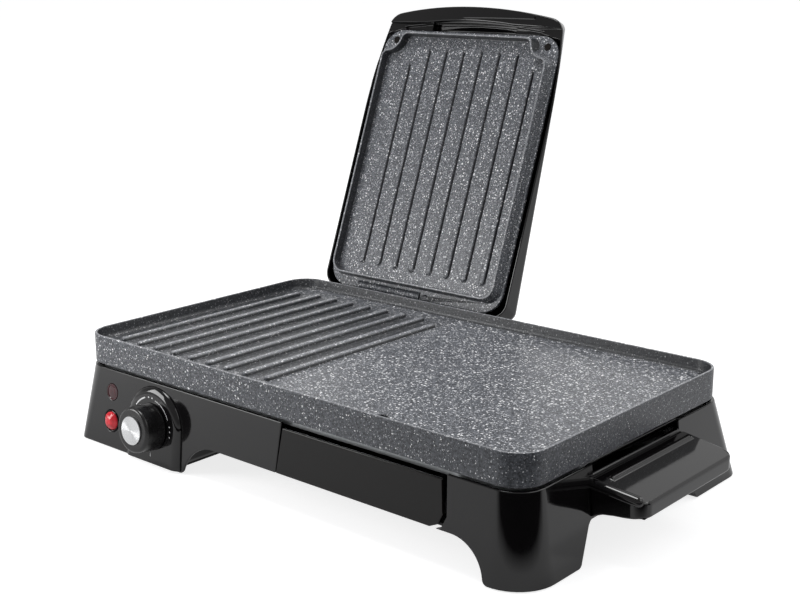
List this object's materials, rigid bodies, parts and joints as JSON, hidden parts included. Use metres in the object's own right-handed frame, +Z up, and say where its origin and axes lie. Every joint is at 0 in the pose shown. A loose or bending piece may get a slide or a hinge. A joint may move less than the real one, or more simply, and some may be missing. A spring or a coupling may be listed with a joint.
{
  "type": "electric indoor grill with lid",
  "caption": "Countertop electric grill: black base with ribbed and flat speckled cooking plate, hinged contact lid, thermostat knob, pilot lamps, side handles and a drip drawer.",
  "frame": {"origin": "centre of the lower cooking plate, on the level of the surface the feet stand on", "axes": "+X to the right along the long side, +Y to the rear where the lid is hinged, +Z up"},
  "size_m": [0.562, 0.4466, 0.3661],
  "materials": {
    "housing_black": "gloss black moulded plastic",
    "cover_black": "matte black moulded plastic",
    "plate_stone": "die-cast, dark speckled non-stick coating, slightly glossy",
    "knob_black": "satin black moulded plastic",
    "cap_aluminium": "spun brushed aluminium",
    "lens_bright": "translucent bright red lens",
    "lens_dark": "translucent dark red lens",
    "rubber": "black rubber",
    "steel": "zinc plated steel",
    "heater": "heat-darkened steel tube",
    "bakelite": "phenolic moulding",
    "neon_glass": "clear glass bulb",
    "ceramic": "unglazed steatite",
    "wire_sleeve": "silicone sleeve",
    "insulation": "pressed mineral fibre sheet",
    "tray_grey": "matte dark moulded plastic"
  },
  "bodies": {
    "root": {"base_housing": "housing_black", "control_cover": "cover_black", "bottom_cover": "cover_black", "rubber_feet": "rubber", "cover_screws": "steel", "left_handle": "housing_black", "right_handle": "housing_black", "lower_plate": "plate_stone", "plate_screws": "steel", "reflector_pan": "steel", "lower_element": "heater", "lower_clamps": "steel", "control_bezel": "housing_black", "thermostat": "bakelite", "thermostat_nut": "steel", "upper_lens": "lens_dark", "lower_lens": "lens_bright", "neon_lamps": "neon_glass", "terminal_block": "ceramic", "internal_wires": "wire_sleeve", "cord_gland": "rubber", "drawer_runners": "steel", "hinge_brackets": "cover_black", "hinge_pins": "steel"},
    "lid": {"hinge_arms": "cover_black", "hinge_screws": "steel", "lid_plate": "plate_stone", "lid_cover": "housing_black", "lid_handle": "housing_black", "lid_screws": "steel", "upper_element": "heater", "upper_clamps": "steel", "lid_insulation": "insulation"},
    "knob": {"thermostat_shaft": "steel", "knob": "knob_black", "knob_cap": "cap_aluminium"},
    "drawer": {"drawer_front": "housing_black", "drip_tray": "tray_grey"}
  },
  "joints": [
    {"name": "lid_hinge", "type": "hinge", "parent": "root", "child": "lid", "pos_m": [-0.1195, 0.1478, 0.0847], "axis": [1, 0, 0], "range_deg": [0, 110.5]},
    {"name": "knob_turn", "type": "hinge", "parent": "root", "child": "knob", "pos_m": [-0.138, -0.1405, 0.03386], "axis": [0, 0.9958, -0.091], "range_deg": [0, 270]},
    {"name": "drawer_slide", "type": "slide", "parent": "root", "child": "drawer", "axis": [0, -1, 0], "range_m": [0, 0.15]}
  ]
}
